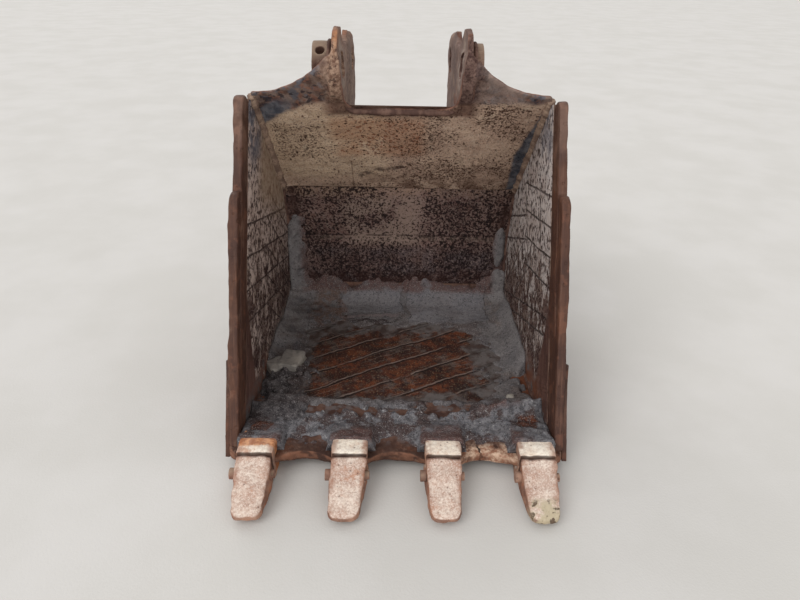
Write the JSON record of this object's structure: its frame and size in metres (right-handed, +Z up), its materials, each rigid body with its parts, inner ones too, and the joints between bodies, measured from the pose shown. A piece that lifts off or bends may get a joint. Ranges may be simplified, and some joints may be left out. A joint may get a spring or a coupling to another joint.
{
  "type": "excavator bucket",
  "caption": "Open digging bucket with a scalloped lip, pinned teeth, side cutters and two hinge ears bored for an arm pin and a link pin.",
  "frame": {"origin": "middle of the arm pin's axis, halfway between the two ears", "axes": "+Z up, +Y from the teeth towards the back, +X along the pins, to the right seen from the mouth"},
  "size_m": [1.0154, 1.315, 1.1479],
  "materials": {
    "floor_steel": "rusted and dusty, scratched along the load",
    "back_steel": "dark brown rust with pits",
    "upper_steel": "tan dust over pitted rust",
    "box_steel": "brown rust with dust on top",
    "side_steel": "rusted, with long scratches",
    "bar_steel": "worn, reddish brown",
    "cutter_steel": "worn, reddish brown",
    "lip_steel": "worn edge, orange rust",
    "adapter_cast": "rusty casting under pale dust",
    "tooth_cast": "worn smooth, pale dust",
    "pin_steel": "rusty pin",
    "ear_steel": "rusty thick plate",
    "boss_steel": "rusty turned ring",
    "strip_steel": "worn wear strip, dusty"
  },
  "bodies": {
    "root": {"floor_plate": "floor_steel", "heel_plate": "floor_steel", "back_plate": "back_steel", "upper_back": "back_steel", "box_bend": "box_steel", "box_top": "box_steel", "upper_plate": "upper_steel", "wing_left": "upper_steel", "wing_right": "upper_steel", "side_plate_left": "side_steel", "side_plate_right": "side_steel", "side_bar_left": "bar_steel", "side_bar_right": "bar_steel", "side_cutter_left": "cutter_steel", "side_cutter_right": "cutter_steel", "corner_shoe_left": "cutter_steel", "corner_shoe_right": "cutter_steel", "cutting_lip": "lip_steel", "ear_left": "ear_steel", "ear_right": "ear_steel", "arm_boss_left": "boss_steel", "arm_boss_right": "boss_steel", "link_boss_left": "boss_steel", "link_boss_right": "boss_steel", "floor_strips": "strip_steel", "heel_strips": "strip_steel", "adapter_1": "adapter_cast", "tooth_1": "tooth_cast", "tooth_pin_1": "pin_steel", "adapter_2": "adapter_cast", "tooth_2": "tooth_cast", "tooth_pin_2": "pin_steel", "adapter_3": "adapter_cast", "tooth_3": "tooth_cast", "tooth_pin_3": "pin_steel", "adapter_4": "adapter_cast", "tooth_4": "tooth_cast", "tooth_pin_4": "pin_steel"}
  },
  "joints": []
}
